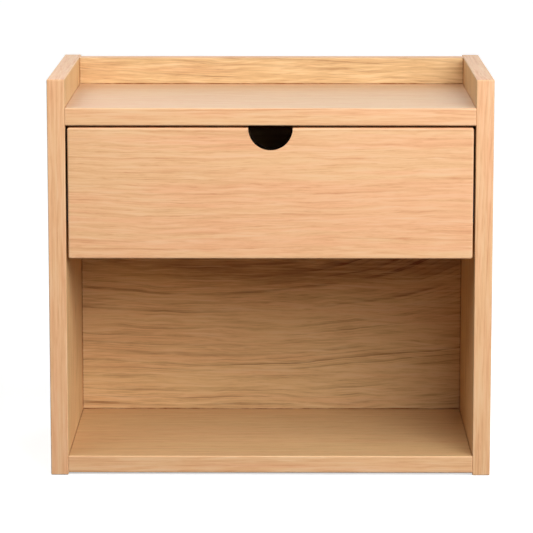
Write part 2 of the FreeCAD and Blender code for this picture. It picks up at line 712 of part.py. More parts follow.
def cam_bolts():
    """The bolts in the side boards, whose heads the cams pull on."""
    body = group("cam_bolts", ("0", PANEL_MIDDLE, "0"))
    neck, head = "(cam_reach - cam_width / 2)", "(cam_reach - bolt_head_length / 2)"
    steps = {
        "thread": ("(-bolt_thread_length)", neck, "bolt_thread"),
        "neck": (neck, head, "bolt_neck"),
        "head": (head, f"({head} + bolt_head_length)", "bolt_head"),
    }
    for side, (sign, _, inward) in SIDES.items():
        for name, (start, end, width) in steps.items():
            level = f"({sign} * ({INNER} - {start}))"
            discs(body, f"{side}_{name}", inward, level, f"({end} - {start})", width, CARCASS_BOLTS)


def cams():
    """The round cams that draw the shelves and the back panel to the side boards."""
    body = group("cams", ("0", PANEL_REAR, "0"))
    shelf_spots = [(x, y) for x in CAM_X for y in SHELF_CAM_Y]
    panel_spots = [(x, z) for x in CAM_X for z in PANEL_CAM_Z]
    seats = {
        "bottom": ("+z", "-z", "foot_drop", shelf_spots),
        "top": ("+z", "-z", TOP_UNDER, shelf_spots),
        "panel": ("-y", "+y", PANEL_REAR, panel_spots),
    }
    for name, (into, _, level, spots) in seats.items():
        discs(body, name, into, level, CAM_DEEP, "cam_width", spots)
    reach = "(cam_reach + bolt_head_length / 2 + bolt_play)"
    width = "bolt_head + 2 * bolt_play"
    for side, (sign, face, _) in SIDES.items():
        bore(body, f"{side}_mouths", face, f"({sign} * {INNER})", reach, width, CARCASS_BOLTS)
    size = ("cam_recess_arm", "cam_recess_slot", "cam_recess_deep")
    for name, (_, face, level, spots) in seats.items():
        cross(body, f"{name}_recess", face, level, size, spots)


def cross(body, name, face, level, size, centres):
    """Cross recesses from a face: size is the cross's width, its slot's width and its depth."""
    arm, slot, deep = size
    u, v = ("xyz"[n] for n in ACROSS[face[1]])
    far, near = f"({arm} / 2)", f"({slot} / 2)"
    plus = [(far, near), (near, near), (near, far)]
    plus += [(f"(-{p})", q) for p, q in reversed(plus)]
    plus += [(f"(-{p})", f"(-{q})") for p, q in plus]

    def draw(sketch):
        """One cross outline about each centre."""
        for cu, cv in centres:
            middle = (local(body, u, cu), local(body, v, cv))
            outline(sketch, [(f"{middle[0]} + {p}", f"{middle[1]} + {q}") for p, q in plus])

    pocket(body, name, face, level, deep, draw)


def drive(body, name, into, seat, size, centres):
    """Pan-head screws driven into a seat: size is shank, length, head width and head thickness."""
    shank, length, head, thick = size
    sign, axis = into
    back = ("-" if sign == "+" else "+") + axis
    tip, top = f"({seat} {sign} {length})", f"({seat} {back[0]} {thick})"
    discs(body, f"{name}_shanks", into, seat, length, shank, centres)
    discs(body, f"{name}_heads", back, seat, thick, head, centres)
    bevel(body, f"{name}_tips", "tip_bevel", ring_at(body, axis, tip, shank))
    soften(body, f"{name}_domes", "head_dome", ring_at(body, axis, top, head))
    size = ("recess_arm", "recess_slot", "recess_deep")
    cross(body, f"{name}_recess", back, top, size, centres)


def rail_screws():
    """The screws that hold the hanging rail to the back panel."""
    seat = f"({REAR} - screw_head_thick - play)"
    length = f"({seat} - {PANEL_REAR} + screw_grip)"
    body = group("rail_screws", ("0", seat, WALL_SCREW_Z))
    size = ("screw", length, "screw_head", "screw_head_thick")
    drive(body, "rail", "-y", seat, size, RAIL_SCREWS)


def face_screws():
    """The screws that hold the drawer's face to its box, driven from inside the drawer."""
    seat = f"({BOX_FRONT} + wall)"
    body = group("face_screws", ("0", seat, BOX_BOTTOM))
    size = ("screw", "(wall + screw_grip)", "screw_head", "screw_head_thick")
    drive(body, "face", "-y", seat, size, FACE_SCREWS)


def runner_screws():
    """The screws that hold the runners' cabinet and drawer members."""
    length = "(steel + runner_screw_grip)"
    size = ("runner_screw", length, "runner_screw_head", "runner_screw_head_thick")
    cabinet = group("cabinet_runner_screws", ("0", RUNNER_FRONT, RUNNER_Z))
    drawer = group("drawer_runner_screws", ("0", RUNNER_FRONT, RUNNER_Z))
    for side, (sign, outward, inward) in SIDES.items():
        drive(cabinet, side, outward, f"({sign} * ({INNER} - steel))", size, RUNNER_SCREWS)
        drive(drawer, side, inward, f"({sign} * ({BOX_HALF} + steel))", size, RUNNER_SCREWS)


def check_cuts(body):
    """Stops if a pocket of the body took nothing away."""
    for feature in body.Group:
        if feature.TypeId == "PartDesign::Pocket":
            before = feature.BaseFeature.Shape.Volume
            if feature.Shape.Volume > before - TINY:
                raise RuntimeError(f"{feature.Label} cuts nothing")


def export():
    """Checks every object and writes one STEP file per sub-part."""
    doc.recompute()
    failed = [o.Label for o in doc.Objects if {"Invalid", "Error"} & set(o.State)]
    if failed:
        raise RuntimeError(f"failed objects: {failed}")
    bodies = [o for o in doc.Objects if o.TypeId == "PartDesign::Body"]
    os.makedirs("parts", exist_ok=True)
    for body in bodies:
        check_cuts(body)
        if body.Shape.isNull() or not body.Shape.isValid():
            raise RuntimeError(f"{body.Label} has no valid shape")
    for body in bodies:
        body.Shape.exportStep(os.path.join("parts", f"{body.Label}.step"))
    print(f"{len(bodies)} sub-parts written")


side_boards()
shelves()
back_panel()
hanging_rail()
drawer_face()
drawer_side_walls()
drawer_cross_walls()
drawer_bottom()
runners()
ball_rows()
ball_cages()
carcass_dowels()
drawer_dowels()
cam_bolts()
cams()
rail_screws()
face_screws()
runner_screws()
export()
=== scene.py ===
"""Looks of a small oak bedside cabinet: one drawer over an open niche.

Everything is in metres on the frame's axes: X to the right, Y to the back and Z up, with the
origin on the floor under the middle of the cabinet. The six boards that show are made again as
veneered boards with banded edges. Every other piece keeps its own solid and takes a finish.
"""

import json
import logging
import math
from dataclasses import dataclass, field
from enum import Enum
from typing import Any, Optional, Sequence, Union

import bmesh
import bpy
from mathutils import Color, Matrix, Vector


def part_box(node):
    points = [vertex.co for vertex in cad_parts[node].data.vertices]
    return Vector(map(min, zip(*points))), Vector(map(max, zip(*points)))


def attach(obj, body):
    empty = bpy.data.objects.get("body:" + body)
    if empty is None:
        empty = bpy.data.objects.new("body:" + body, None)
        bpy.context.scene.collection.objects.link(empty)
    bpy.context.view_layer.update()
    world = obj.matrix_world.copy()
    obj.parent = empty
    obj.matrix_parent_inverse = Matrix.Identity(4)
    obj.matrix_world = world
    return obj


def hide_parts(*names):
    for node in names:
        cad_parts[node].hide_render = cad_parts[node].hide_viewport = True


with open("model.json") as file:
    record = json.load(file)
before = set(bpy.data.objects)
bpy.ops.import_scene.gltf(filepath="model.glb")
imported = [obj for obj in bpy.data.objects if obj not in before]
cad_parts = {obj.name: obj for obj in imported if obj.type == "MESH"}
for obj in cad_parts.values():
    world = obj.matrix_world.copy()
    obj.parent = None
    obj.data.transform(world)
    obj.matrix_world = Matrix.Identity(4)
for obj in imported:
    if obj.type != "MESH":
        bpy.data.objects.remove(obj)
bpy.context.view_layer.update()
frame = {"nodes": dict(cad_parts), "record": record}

LOG = logging.getLogger("bedside_cabinet")

HAIR = 1e-6  # a length too small to see, for comparing places
CREASE = math.radians(32)  # the angle past which an edge is shaded sharp

Colour = tuple[float, float, float]
Operand = Union["Signal", float]
Box = tuple[Vector, Vector]
Joint = tuple["Axis", float]


def chip(red: float, green: float, blue: float) -> Colour:
    """A colour as on a paint chart, 0 to 255, turned into the linear light that shaders take."""
    light = Color((red / 255, green / 255, blue / 255)).from_srgb_to_scene_linear()
    return (light.r, light.g, light.b)


class Axis(Enum):
    """An axis of the frame, by its place in a vector."""

    X = 0
    Y = 1
    Z = 2


class Rounded(Enum):
    """Which edges of a board are rounded."""

    EVERY = "every edge"
    FRONT = "the two long front edges"
    RIMS = "the outlines of the front and the rear face"


class Slot(Enum):
    """The places on a board that have a finish of their own, by material slot."""

    FACE = 0
    LONG_BAND = 1
    END_BAND = 2
    CORE = 3


class Signal:
    """One value that a material computes: a node's output, which Python's operators work on."""

    def __init__(self, graph: "Graph", socket: bpy.types.NodeSocket) -> None:
        """Keeps the socket and the graph that it belongs to."""
        self.graph = graph
        self.socket = socket

    def maths(self, operation: str, *operands: Operand) -> "Signal":
        """Adds a Math node for the operands, in order."""
        sockets = dict(enumerate(operands))
        return self.graph.node("ShaderNodeMath", {"operation": operation}, sockets)

    def __add__(self, other: Operand) -> "Signal":
        """The sum."""
        return self.maths("ADD", self, other)

    def __radd__(self, other: float) -> "Signal":
        """The sum, with a number first."""
        return self.maths("ADD", other, self)

    def __sub__(self, other: Operand) -> "Signal":
        """The difference."""
        return self.maths("SUBTRACT", self, other)

    def __rsub__(self, other: float) -> "Signal":
        """The difference, with a number first."""
        return self.maths("SUBTRACT", other, self)

    def __mul__(self, other: Operand) -> "Signal":
        """The product."""
        return self.maths("MULTIPLY", self, other)

    def __rmul__(self, other: float) -> "Signal":
        """The product, with a number first."""
        return self.maths("MULTIPLY", other, self)

    def __truediv__(self, other: Operand) -> "Signal":
        """The quotient."""
        return self.maths("DIVIDE", self, other)

    def __rtruediv__(self, other: float) -> "Signal":
        """The quotient, with a number first."""
        return self.maths("DIVIDE", other, self)

    def root(self) -> "Signal":
        """The square root."""
        return self.maths("SQRT", self)

    def size(self) -> "Signal":
        """The value without its sign."""
        return self.maths("ABSOLUTE", self)

    def whole(self) -> "Signal":
        """The whole number below."""
        return self.maths("FLOOR", self)

    def part(self) -> "Signal":
        """What is left above the whole number below."""
        return self.maths("FRACT", self)

    def least(self, other: Operand) -> "Signal":
        """The smaller of two values."""
        return self.maths("MINIMUM", self, other)

    def most(self, other: Operand) -> "Signal":
        """The larger of two values."""
        return self.maths("MAXIMUM", self, other)

    def rise(self, low: float, high: float) -> "Signal":
        """A smooth rise from 0 at low to 1 at high.

        Args:
            low: The value up to which it is 0.
            high: The value from which it is 1.

        Returns:
            The rise.
        """
        sockets = {"Value": self, "From Min": low, "From Max": high}
        settings = {"interpolation_type": "SMOOTHSTEP"}
        return self.graph.node("ShaderNodeMapRange", settings, sockets)


class Graph:
    """A material's node tree, with one way to add a node and a few common sums."""

    def __init__(self, name: str) -> None:
        """Starts a material with a Principled shader and nothing else.

        Args:
            name: The material's name.
        """
        self.material = bpy.data.materials.new(name)
        self.material.use_nodes = True
        self.tree = self.material.node_tree
        self.tree.nodes.clear()
        self.shader = self.tree.nodes.new("ShaderNodeBsdfPrincipled")
        out = self.tree.nodes.new("ShaderNodeOutputMaterial")
        self.tree.links.new(self.shader.outputs[0], out.inputs["Surface"])

    def node(
        self,
        kind: str,
        settings: Optional[dict[str, Any]] = None,
        sockets: Optional[dict[Union[str, int], Any]] = None,
        output: Union[str, int] = 0,
    ) -> Signal:
        """Adds a node of any type.

        Args:
            kind: The node's type.
            settings: The node's own properties, which are set first.
            sockets: What each input takes, a number, a colour or a signal, by name or by place.
            output: The output that the signal stands for.

        Returns:
            The node's output.
        """
        node = self.tree.nodes.new(kind)
        for name, setting in (settings or {}).items():
            setattr(node, name, setting)
        for key, value in (sockets or {}).items():
            self.connect(self.find(node.inputs, key), value)
        return Signal(self, self.find(node.outputs, output))

    @staticmethod
    def find(sockets: Any, key: Union[str, int]) -> bpy.types.NodeSocket:
        """A socket by its place, its identifier or its name.

        Args:
            sockets: A node's inputs or outputs.
            key: The socket's place, identifier or name.

        Returns:
            The socket.
        """
        if isinstance(key, int):
            return sockets[key]
        exact = [socket for socket in sockets if socket.identifier == key]
        return exact[0] if exact else sockets[key]

    def connect(self, socket: bpy.types.NodeSocket, value: Any) -> None:
        """Links a signal to a socket, or sets a number or a colour on it.

        Args:
            socket: The input.
            value: A signal, a number or a colour.
        """
        if isinstance(value, Signal):
            self.tree.links.new(value.socket, socket)
        elif isinstance(value, tuple) and len(value) < len(socket.default_value):
            socket.default_value = (*value, 1.0)
        else:
            socket.default_value = value

    def finish(self, **sockets: Any) -> bpy.types.Material:
        """Feeds the shader's sockets, named with _ for a space, and returns the material.

        Args:
            sockets: What each of the shader's inputs takes.

        Returns:
            The material.
        """
        for name, value in sockets.items():
            self.connect(self.shader.inputs[name.replace("_", " ")], value)
        return self.material

    def place(self) -> list[Signal]:
        """The point's own X, Y and Z, in metres in the frame at rest.

        Returns:
            The three coordinates.
        """
        point = self.node("ShaderNodeTexCoord", output="Object")
        return [
            self.node("ShaderNodeSeparateXYZ", sockets={0: point}, output=axis.value)
            for axis in Axis
        ]

    def noise(self, u: Operand, v: Operand, w: Operand, detail: float = 2.0) -> Signal:
        """Smooth noise over three coordinates, from about -0.5 to about 0.5.

        Args:
            u: The first coordinate, one unit to a patch.
            v: The second coordinate.
            w: The third coordinate, or a number that picks a slice.
            detail: How many finer layers it has.

        Returns:
            The noise.
        """
        point = self.node("ShaderNodeCombineXYZ", sockets={0: u, 1: v, 2: w})
        sockets = {"Vector": point, "Scale": 1.0, "Detail": detail, "Roughness": 0.5}
        return self.node("ShaderNodeTexNoise", {}, sockets) - 0.5

    def chance(self, value: Signal) -> Signal:
        """A random number from 0 to 1 for each whole value."""
        settings = {"noise_dimensions": "1D"}
        return self.node("ShaderNodeTexWhiteNoise", settings, {"W": value})

    def blend(
        self, share: Operand, under: Union[Signal, Colour], over: Union[Signal, Colour]
    ) -> Signal:
        """Mixes two colours.

        Args:
            share: How much of the second colour shows.
            under: The first colour.
            over: The second colour.

        Returns:
            The mixed colour.
        """
        settings = {"data_type": "RGBA", "blend_type": "MIX"}
        sockets = {"Factor_Float": share, "A_Color": under, "B_Color": over}
        return self.node("ShaderNodeMix", settings, sockets, "Result_Color")

    def bump(self, height: Signal, depth: float, strength: float = 1.0) -> Signal:
        """A normal that follows a height from 0 to 1, as deep as depth in metres."""
        sockets = {"Height": height, "Distance": depth, "Strength": strength}
        return self.node("ShaderNodeBump", {}, sockets)


def edge_distance(place: Sequence[Signal], box: Box) -> Signal:
    """How far a point on a box's surface lies from the box's nearest edge.

    Args:
        place: The point's coordinates.
        box: The lowest and the highest corner.

    Returns:
        The distance in metres.
    """
    low, high = box
    depths = [
        (spot - low[n]).least(high[n] - spot) for n, spot in enumerate(place)
    ]
    first, second, third = depths
    return first.least(second).most(first.most(second).least(third))


@dataclass(frozen=True)
class Figure:
    """How a leaf of veneer was cut from its log, in the board's own along and across.

    Attributes:
        turn: Where along the board the saw came nearest to the pith.
        pith: Where across the board the pith lies.
        depth: How far behind the face the pith lies at the turn.
        slope: How fast the face leaves the pith along the board.
        ring: The width of one year's growth.
    """

    turn: float = 0.0
    pith: float = 0.0
    depth: float = 0.02
    slope: float = 0.1
    ring: float = 0.004

    def rings(self, u: Signal, v: Signal) -> Signal:
        """How many rings a point lies from the pith.

        Args:
            u: The place along the board.
            v: The place across it.

        Returns:
            The number of rings.
        """
        along = (u - self.turn) * self.slope
        across = v - self.pith
        return (along * along + across * across + self.depth**2).root() / self.ring


@dataclass(frozen=True)
class HeartwoodAndShade:
    """A dark patch, partly heartwood and partly painted shade: its middle and its half length and
    half width, in metres.
    """

    along: float
    across: float
    length: float
    width: float

    CORE = 0.6  # the share of its size inside which it is at its darkest

    def at(self, u: Signal, v: Signal) -> Signal:
        """How deep in the patch a point lies, from 0 to 1.

        Args:
            u: The place along the board.
            v: The place across it.

        Returns:
            The depth, 1 in its middle.
        """
        far_along = (u - self.along) / self.length
        far_across = (v - self.across) / self.width
        far = (far_along * far_along + far_across * far_across).root()
        return 1.0 - far.rise(self.CORE, 1.0)


@dataclass(frozen=True)
class Mark:
    """One kind of mark in the grain.

    Attributes:
        length: How long one is along the grain, in metres.
        width: How wide one is across it, in metres.
        layer: Its own slice of the noise.
        detail: How many finer layers the noise has.
        weight: How strongly it counts.
        cut: The strengths at which it begins to show and shows in full, where it has an edge.
    """

    length: float
    width: float
    layer: float
    detail: float = 1.0
    weight: float = 1.0
    cut: Optional[tuple[float, float]] = None

    def at(self, graph: Graph, u: Signal, v: Signal, slice_: Signal) -> Signal:
        """How strong the mark is at a point: from 0 to 1 with an edge, else about 0."""
        noise = graph.noise(u / self.length, v / self.width, slice_ + self.layer, self.detail)
        return (noise.rise(*self.cut) if self.cut else noise) * self.weight


SLOW_BEND = Mark(0.33, 0.14, 0.0)
SWAY = Mark(0.08, 0.028, 2.0, weight=0.4)
RIPPLE = Mark(0.025, 0.006, 3.0, weight=0.16)
FADING = Mark(0.09, 0.013, 11.0, weight=4.5)
CLOUD = Mark(0.4, 0.08, 41.0, detail=2.0, weight=2.0)
BAND = Mark(0.5, 0.012, 5.0, detail=2.0, weight=2.0)
TINT = Mark(0.07, 0.0045, 7.0, weight=1.3)
STROKE = Mark(0.055, 0.0029, 13.0, detail=2.0, weight=1.3)
FIBRE = Mark(0.022, 0.0012, 17.0, weight=0.95)
DASH = Mark(0.014, 0.0011, 23.0, cut=(0.06, 0.22))
PORE = Mark(0.004, 0.0003, 31.0, detail=0.0, cut=(0.12, 0.2))


@dataclass(frozen=True)
class Palette:
    """A wood's three colours.

    Attributes:
        pale: The wood's own colour.
        brown: The colour of its ring lines and pores, also taken by the joints' dirt and by
            painted shade.
        rose: The colour of its warmer bands.
    """

    pale: Colour
    brown: Colour
    rose: Colour


@dataclass(frozen=True)
class Wood:
    """A wooden surface: how its leaf was cut, its colours, and how strongly each mark shows.

    Attributes:
        name: What the finish is called.
        figure: The cut of the leaf.
        palette: The wood's colours.
        lines: How dark the ring lines are.
        streaks: How strong the fine streaks along the grain are.
        dashes: How dark the short pore marks are.
        bands: How strongly the warmer bands show.
        wander: How far the grain wanders, in metres.
        rub: How much paler the rubbed edges are.
        roughness: How dull the surface is.
        coat: The weight of the lacquer.
        gloss: How strongly the wood itself reflects.
        seed: Which slice of the noise it takes.
        upper: How the leaf above the seam was cut, where there are two.
        seam: Where across the board that leaf begins.
        upper_painted_shade: How much darker that leaf is, as painted shade that dims the panel
            above the seam.
        blush: Where across the board its warmest band lies, and how wide it is.
        heart_and_shade: The dark patch, partly heartwood and partly painted shade, where there is
            one.
        heart_and_shade_depth: How dark that patch is.
    """

    name: str
    figure: Figure
    palette: Palette
    lines: float = 0.35
    streaks: float = 0.4
    dashes: float = 0.12
    bands: float = 0.6
    wander: float = 0.012
    rub: float = 0.25
    roughness: float = 0.42
    coat: float = 0.1
    gloss: float = 0.5
    seed: float = 0.0
    upper: Optional[Figure] = None
    seam: float = 0.0
    upper_painted_shade: float = 0.0
    blush: Optional[tuple[float, float]] = None
    heart_and_shade: Optional[HeartwoodAndShade] = None
    heart_and_shade_depth: float = 0.3

    # The ring lines: where in a year the late wood begins and is darkest, how faint the faintest
    # year is and how much bolder the boldest, how fast good and bad years follow each other and
    # how many rings they shift a line, the finer lines between the rings, and how bold a line is
    # on the whole and where it has faded.
    LATE = 0.5
    DARKEST = 0.93
    FAINTEST = 0.3
    YEARS_DIFFER = 0.6
    YEARS_CHANGE = 0.31
    YEARS_SHIFT = 2.0
    FINE_RINGS = 3.3
    FINE_SHARE = 0.6
    BOLD = 0.85
    FADED = 0.05
    # The colour: how warm the wood is on the whole, how much a blush adds, how dark a pore is
    # beside a dash, how pale the streaks' light side is, the power that makes it and the rubbed
    # edges paler, and how dark the painted shade and dirt in a joint are and how far they differ.
    WARMTH = 0.45
    BLUSH = 0.3
    PORE_SHARE = 0.5
    PALE_STREAKS = 1.6
    RUBBED = 0.7
    JOINT_SHADE_AND_DIRT = 0.75
    JOINT_SHADE_AND_DIRT_DIFFERS = 1.2
    # Sizes in metres: the wood's depth that one slice of the noise stands for, the patches of
    # painted shade and dirt in a metre of joint, from where to where a joint's painted shade and
    # dirt and a rubbed edge fade, and the depth of the grain.
    SLICE = 0.025
    JOINT_PATCHES = 140.0
    JOINT_WIDTH = (0.0003, 0.0014)
    RUB_WIDTH = (0.0003, 0.0026)
    GRAIN_DEPTH = 0.00005
    # How dull the lacquer is.
    COAT_ROUGHNESS = 0.32

    def bend(self, graph: Graph, u: Signal, v: Signal, slice_: Signal) -> Signal:
        """How far the grain has wandered across at a point, in metres."""
        slow, sway, ripple = (mark.at(graph, u, v, slice_) for mark in (SLOW_BEND, SWAY, RIPPLE))
        return (slow + sway + ripple) * self.wander

    def ring_lines(self, graph: Graph, rings: Signal) -> Signal:
        """A thin dark line at the end of each ring, bolder in some years than in others.

        Args:
            graph: The material's graph.
            rings: How many rings the point lies from the pith.

        Returns:
            The darkness.
        """
        phase = rings.part()
        year = graph.chance(rings.whole() + self.seed)
        late = phase.rise(self.LATE, self.DARKEST) * (1.0 - phase.rise(self.DARKEST, 1.0))
        return late * (self.FAINTEST + year * self.YEARS_DIFFER)

    def in_upper(self, v: Signal) -> Signal:
        """Whether a point lies in the upper leaf: 1 there, 0 elsewhere."""
        return v.maths("GREATER_THAN", v, self.seam)

    def rings(self, graph: Graph, u: Signal, v: Signal, bent: Signal) -> Signal:
        """How many rings a point lies from its pith, with the years made uneven.

        Args:
            graph: The material's graph.
            u: The place along the board.
            v: The place across it.
            bent: The place across it, moved by the grain's wandering.

        Returns:
            The number of rings.
        """
        rings = self.figure.rings(u, bent)
        if self.upper is not None:
            rings = rings + (self.upper.rings(u, bent) - rings) * self.in_upper(v)
        uneven = graph.noise(rings * self.YEARS_CHANGE, 0.0, self.seed + 3.0, 1.0)
        return rings + uneven * self.YEARS_SHIFT

    def warmth(self, graph: Graph, u: Signal, v: Signal, bent: Signal, slice_: Signal) -> Signal:
        """How warm the wood's colour is at a point, from 0 to 1.

        Args:
            graph: The material's graph.
            u: The place along the board.
            v: The place across it.
            bent: The place across it, moved by the grain's wandering.
            slice_: The slice of the noise.

        Returns:
            The warmth.
        """
        warm = CLOUD.at(graph, u, v, slice_) + self.WARMTH
        warm = warm + BAND.at(graph, u, bent, slice_) + TINT.at(graph, u, bent, slice_)
        if self.blush is not None:
            middle, spread = self.blush
            paler = (v - middle).size().rise(0.0, spread) * 2.0
            warm = warm + (1.0 - paler) * self.BLUSH
        return warm.rise(0.0, 1.0)

    def joint_line(
        self, graph: Graph, place: Sequence[Signal], joints: Sequence[Joint]
    ) -> Operand:
        """How dark the painted shadow and dirt in the joints is at a point.

        Args:
            graph: The material's graph.
            place: The point's coordinates.
            joints: Where other boards meet this one.

        Returns:
            The darkness, from 0 to 1.
        """
        if not joints:
            return 0.0
        far = [(place[axis.value] - spot).size() for axis, spot in joints]
        near = far[0]
        for distance in far[1:]:
            near = near.least(distance)
        # Painted shadow and dirt along the joints, broken into patches.
        broken = graph.noise(*(spot * self.JOINT_PATCHES for spot in place))
        return (1.0 - near.rise(*self.JOINT_WIDTH)) * (self.JOINT_SHADE_AND_DIRT + broken * self.JOINT_SHADE_AND_DIRT_DIFFERS)

    def make(
        self, along: Axis, across: Axis, box: Box, joints: Sequence[Joint] = ()
    ) -> bpy.types.Material:
        """The material for a surface that lies along two axes.

        Args:
            along: The axis that the grain runs along.
            across: The axis that the surface's width runs along.
            box: The corners of the board, whose edges are rubbed.
            joints: Where other boards meet this one.

        Returns:
            The material.
        """
        graph = Graph(self.name)
        place = graph.place()
        u, v = place[along.value], place[across.value]
        other = next(axis for axis in Axis if axis not in (along, across))
        slice_ = place[other.value] / self.SLICE + self.seed

        bent = v + self.bend(graph, u, v, slice_)
        rings = self.rings(graph, u, v, bent)
        fading = (self.BOLD + FADING.at(graph, u, bent, slice_)).most(self.FADED)
        fine = self.ring_lines(graph, rings * self.FINE_RINGS) * self.FINE_SHARE
        line = (self.ring_lines(graph, rings) + fine) * fading

        marks = (STROKE, FIBRE, DASH, PORE)
        stroke, fibre, dash, pore = (mark.at(graph, u, bent, slice_) for mark in marks)
        streak = stroke + fibre

        warm = self.warmth(graph, u, v, bent, slice_)
        pale, brown, rose = self.palette.pale, self.palette.brown, self.palette.rose
        colour = graph.blend(warm * self.bands, pale, rose)
        dark = line * self.lines + streak * self.streaks
        dark = dark + (dash + pore * self.PORE_SHARE) * self.dashes
        dark = dark + self.joint_line(graph, place, joints)
        # Painted shade that darkens the leaf above the seam.
        if self.upper is not None:
            dark = dark + self.in_upper(v) * self.upper_painted_shade
        # A dark patch that is partly heartwood and partly painted shade.
        if self.heart_and_shade is not None:
            dark = dark + self.heart_and_shade.at(u, bent) * self.heart_and_shade_depth
        colour = graph.blend(dark.most(0.0).least(1.0), colour, brown)
        edge = 1.0 - edge_distance(place, box).rise(*self.RUB_WIDTH)
        light = (streak * (-self.streaks * self.PALE_STREAKS)).most(0.0) + edge * self.rub
        rubbed = tuple(part**self.RUBBED for part in pale)
        colour = graph.blend(light.least(1.0), colour, rubbed)

        dull = self.roughness + (streak + dash) * 0.12 + edge * 0.06
        # Dashes and pores are hollows, and the fibres between them stand a little proud.
        height = 0.7 - dash * 0.35 - pore * 0.3 + fibre * 0.26
        return graph.finish(
            Base_Color=colour,
            Roughness=dull,
            Normal=graph.bump(height, self.GRAIN_DEPTH, 0.6),
            Specular_IOR_Level=self.gloss,
            Coat_Weight=self.coat,
            Coat_Roughness=self.COAT_ROUGHNESS,
        )


@dataclass(frozen=True)
class Chipboard:
    """The raw core of a board, which shows only inside a bore.

    Attributes:
        name: What the finish is called.
        pale: The colour of its palest chips.
        dark: The colour of its darkest chips.
    """

    name: str = "chipboard_core"
    pale: Colour = chip(206, 178, 138)
    dark: Colour = chip(128, 96, 62)

    def make(self) -> bpy.types.Material:
        """The material: pressed chips, each of its own shade.

        Returns:
            The material.
        """
        graph = Graph(self.name)
        x, y, z = graph.place()
        chips = {0: x * 700.0, 1: y * 700.0, 2: z * 900.0}
        point = graph.node("ShaderNodeCombineXYZ", sockets=chips)
        sockets = {"Vector": point, "Scale": 1.0}
        shade = graph.node("ShaderNodeTexVoronoi", {}, sockets, "Color")
        part = graph.node("ShaderNodeSeparateColor", sockets={0: shade})
        grit = graph.noise(x * 3000.0, y * 3000.0, z * 3000.0)
        colour = graph.blend(part, self.pale, self.dark)
        return graph.finish(
            Base_Color=colour,
            Roughness=0.85 + grit * 0.2,
            Normal=graph.bump(part + grit, 0.0003),
        )


@dataclass(frozen=True)
class NearBlack:
    """A nearly black surface on a cut edge, such as the wall of the finger notch.

    Attributes:
        name: What the finish is called.
        tone: Its colour.
        worn: Its colour where fingers rub it.
    """

    name: str = "notch_near_black"
    tone: Colour = (0.006, 0.0035, 0.0025)
    worn: Colour = (0.014, 0.008, 0.005)

    def make(self) -> bpy.types.Material:
        """The material: nearly black, a little browner where fingers rub it.

        Returns:
            The material.
        """
        graph = Graph(self.name)
        x, y, z = graph.place()
        patch = graph.noise(x * 120.0, y * 300.0, z * 120.0, 3.0)
        grit = graph.noise(x * 1500.0, y * 400.0, z * 1500.0)
        return graph.finish(
            Base_Color=graph.blend(patch.rise(0.05, 0.3), self.tone, self.worn),
            Roughness=0.8 + grit * 0.2,
            Normal=graph.bump(grit + 0.5, 0.0001),
            Specular_IOR_Level=0.0,
        )


@dataclass(frozen=True)
class Metal:
    """A metal surface: its colour, its polish and the marks that its making leaves.

    Attributes:
        name: What the finish is called.
        tone: The metal's colour.
        dull: The colour of its duller patches.
        roughness: How dull it is on the whole.
        patch: How many patches fit in a metre.
        brushed: How strong the brushing along Y is.
        depth: How deep the marks are, in metres.
    """

    name: str
    tone: Colour
    dull: Colour
    roughness: float
    patch: float = 260.0
    brushed: float = 0.12
    depth: float = 0.00002

    def make(self) -> bpy.types.Material:
        """The material.

        Returns:
            The material.
        """
        graph = Graph(self.name)
        x, y, z = graph.place()
        cloud = graph.noise(x * self.patch, y * self.patch, z * self.patch, 3.0)
        brush = graph.noise(x * 5200.0, y * 60.0, z * 5200.0, 1.0)
        speck = graph.noise(x * 2600.0, y * 2600.0, z * 2600.0, 0.0)
        share = (0.5 + cloud * 1.6 + speck * 0.4).least(1.0).most(0.0)
        return graph.finish(
            Base_Color=graph.blend(share, self.tone, self.dull),
            Metallic=1.0,
            Roughness=self.roughness + cloud * 0.18 + brush * self.brushed,
            Normal=graph.bump(brush + cloud + 0.5, self.depth),
        )


@dataclass(frozen=True)
class Plastic:
    """Moulded plastic with a fine grain and scuffed high spots.

    Attributes:
        name: What the finish is called.
        tone: The plastic's colour.
        scuffed: Its colour where it is scuffed.
        roughness: How dull it is on the whole.
    """

    name: str
    tone: Colour
    scuffed: Colour
    roughness: float = 0.5

    def make(self) -> bpy.types.Material:
        """The material.

        Returns:
            The material.
        """
        graph = Graph(self.name)
        x, y, z = graph.place()
        grain = graph.noise(x * 2400.0, y * 2400.0, z * 2400.0, 2.0)
        scuff = graph.noise(x * 300.0, y * 90.0, z * 300.0, 3.0).rise(0.08, 0.3)
        return graph.finish(
            Base_Color=graph.blend(scuff, self.tone, self.scuffed),
            Roughness=self.roughness + grain * 0.2 + scuff * 0.12,
            Normal=graph.bump(grain + 0.5, 0.00004),
        )


@dataclass(frozen=True)
class Bore:
    """A round hole in a board.

    Attributes:
        centre: The middle of the hole.
        axis: The axis that it runs along.
        radius: Its radius.
        length: How far it reaches along its axis, half to each side of its middle.
    """

    centre: Vector
    axis: Axis
    radius: float
    length: float


def solids(node: str) -> list[Box]:
    """The boxes of a node's separate solids.

    Args:
        node: The node's name.

    Returns:
        The lowest and the highest corner of each solid.
    """
    mesh = frame["nodes"][node].data
    owner: dict[tuple[float, ...], int] = {}
    spot = [owner.setdefault(tuple(round(c, 6) for c in v.co), v.index) for v in mesh.vertices]
    root = list(range(len(mesh.vertices)))

    def find(n: int) -> int:
        """The vertex that stands for n's solid.

        Args:
            n: A vertex.

        Returns:
            The vertex that every vertex of its solid shares.
        """
        while root[n] != n:
            root[n] = root[root[n]]
            n = root[n]
        return n

    for edge in mesh.edges:
        first, second = (find(spot[n]) for n in edge.vertices)
        root[first] = second
    groups: dict[int, list[Vector]] = {}
    for vertex in mesh.vertices:
        groups.setdefault(find(spot[vertex.index]), []).append(vertex.co)
    return [
        (Vector(map(min, *group)), Vector(map(max, *group)))
        for group in groups.values()
    ]


